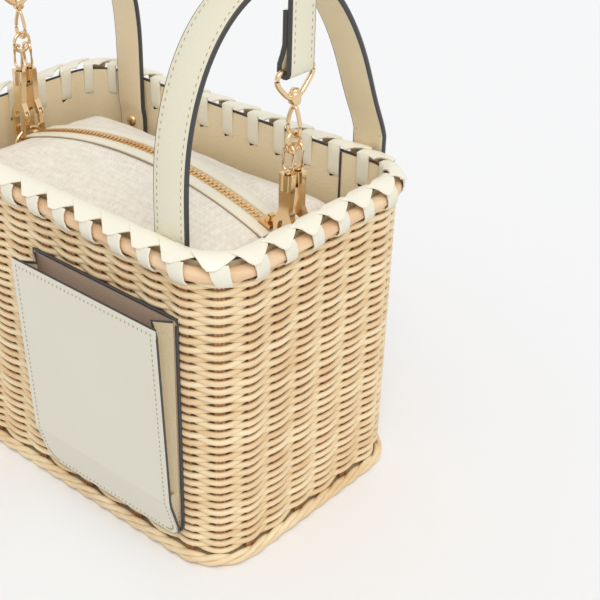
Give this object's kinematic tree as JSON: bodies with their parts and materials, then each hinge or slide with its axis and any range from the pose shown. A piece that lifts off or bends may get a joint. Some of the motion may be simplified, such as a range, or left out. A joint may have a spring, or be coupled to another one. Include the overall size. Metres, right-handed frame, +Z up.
{
  "type": "wicker bucket bag",
  "caption": "Woven rectangular bag with laced leather rim, patch pocket, two riveted handles, zipped inner pouch and a shoulder strap on spring clasps.",
  "frame": {"origin": "middle of the wicker underside, on the floor", "axes": "+Z up, -Y towards the pocket side, +X towards the pocket's end"},
  "size_m": [0.2684, 0.1849, 0.4462],
  "materials": {
    "straw": "woven peeled cane",
    "border_cane": "twisted cane",
    "hoop_cane": "smooth peeled cane",
    "cream_leather": "pebbled, black painted edges",
    "pocket_leather": "smooth",
    "linen": "fine twill",
    "zip_cloth": "tape",
    "zip_metal": "polished",
    "gold_metal": "polished light gold"
  },
  "bodies": {
    "bag": {"wicker_basket": "straw", "foot_border": "border_cane", "rim_hoop": "hoop_cane", "inner_facing": "cream_leather", "edge_lacing": "cream_leather", "pocket_back": "pocket_leather", "pocket_front": "pocket_leather", "pocket_gusset_left": "pocket_leather", "pocket_gusset_right": "pocket_leather", "handle_rivets": "gold_metal", "pouch_body": "linen", "pouch_placket": "cream_leather", "zip_tape": "zip_cloth", "zip_teeth": "zip_metal", "side_ring_left": "gold_metal", "side_ring_right": "gold_metal", "ring_tab_left": "cream_leather", "ring_tab_right": "cream_leather"},
    "handle_right": {"handle_right": "cream_leather"},
    "handle_left": {"handle_left": "cream_leather"},
    "strap": {"shoulder_strap": "cream_leather", "jump_link_left": "gold_metal", "swivel_left": "gold_metal", "strap_ring_left": "gold_metal", "clasp_eye_left_front": "gold_metal", "clasp_eye_left_back": "gold_metal", "jump_link_right": "gold_metal", "swivel_right": "gold_metal", "strap_ring_right": "gold_metal", "clasp_eye_right_front": "gold_metal", "clasp_eye_right_back": "gold_metal"},
    "slider": {"zip_slider": "zip_metal"},
    "pull": {"zip_pull": "zip_metal"},
    "clasp_left_front": {"clasp_left_front": "gold_metal", "gate_pin_left_front": "gold_metal"},
    "gate_left_front": {"gate_left_front": "gold_metal"},
    "clasp_left_back": {"clasp_left_back": "gold_metal", "gate_pin_left_back": "gold_metal"},
    "gate_left_back": {"gate_left_back": "gold_metal"},
    "clasp_right_front": {"clasp_right_front": "gold_metal", "gate_pin_right_front": "gold_metal"},
    "gate_right_front": {"gate_right_front": "gold_metal"},
    "clasp_right_back": {"clasp_right_back": "gold_metal", "gate_pin_right_back": "gold_metal"},
    "gate_right_back": {"gate_right_back": "gold_metal"}
  },
  "joints": [
    {"name": "handle_right_swing", "type": "hinge", "parent": "bag", "child": "handle_right", "pos_m": [0.09, 0, 0.16], "axis": [0, -1, 0], "range_deg": [0, 30]},
    {"name": "handle_left_swing", "type": "hinge", "parent": "bag", "child": "handle_left", "pos_m": [-0.09, 0, 0.16], "axis": [0, 1, 0], "range_deg": [0, 30]},
    {"name": "strap_swing", "type": "hinge", "parent": "bag", "child": "strap", "pos_m": [0, 0, 0.1586], "axis": [1, 0, 0], "range_deg": [-50, 50]},
    {"name": "clasp_turn_left_front", "type": "hinge", "parent": "strap", "child": "clasp_left_front", "pos_m": [-0.1065, -0.00582, 0.16955], "axis": [0, 0.0472, 0.9989], "range_deg": [-12, 12]},
    {"name": "gate_open_left_front", "type": "hinge", "parent": "clasp_left_front", "child": "gate_left_front", "pos_m": [-0.1015, -0.00524, 0.18194], "axis": [0, 0.9989, -0.0472], "range_deg": [0, 20], "stiffness_Nm_per_rad": 0.004, "springref_deg": -20.05},
    {"name": "clasp_turn_left_back", "type": "hinge", "parent": "strap", "child": "clasp_left_back", "pos_m": [-0.1065, 0.00582, 0.16955], "axis": [0, -0.0472, 0.9989], "range_deg": [-12, 12]},
    {"name": "gate_open_left_back", "type": "hinge", "parent": "clasp_left_back", "child": "gate_left_back", "pos_m": [-0.1015, 0.00524, 0.18194], "axis": [0, 0.9989, 0.0472], "range_deg": [0, 20], "stiffness_Nm_per_rad": 0.004, "springref_deg": -20.05},
    {"name": "clasp_turn_right_front", "type": "hinge", "parent": "strap", "child": "clasp_right_front", "pos_m": [0.1065, -0.00582, 0.16955], "axis": [0, 0.0472, 0.9989], "range_deg": [-12, 12]},
    {"name": "gate_open_right_front", "type": "hinge", "parent": "clasp_right_front", "child": "gate_right_front", "pos_m": [0.1115, -0.00524, 0.18194], "axis": [0, 0.9989, -0.0472], "range_deg": [0, 20], "stiffness_Nm_per_rad": 0.004, "springref_deg": -20.05},
    {"name": "clasp_turn_right_back", "type": "hinge", "parent": "strap", "child": "clasp_right_back", "pos_m": [0.1065, 0.00582, 0.16955], "axis": [0, -0.0472, 0.9989], "range_deg": [-12, 12]},
    {"name": "gate_open_right_back", "type": "hinge", "parent": "clasp_right_back", "child": "gate_right_back", "pos_m": [0.1115, 0.00524, 0.18194], "axis": [0, 0.9989, 0.0472], "range_deg": [0, 20], "stiffness_Nm_per_rad": 0.004, "springref_deg": -20.05},
    {"name": "slider_travel", "type": "hinge", "parent": "bag", "child": "slider", "pos_m": [0, 0, -0.0875], "axis": [0, -1, 0], "range_deg": [0, 37]},
    {"name": "pull_flip", "type": "hinge", "parent": "slider", "child": "pull", "pos_m": [0.09187, 0, 0.17872], "axis": [0, -1, 0], "range_deg": [0, 150]}
  ]
}
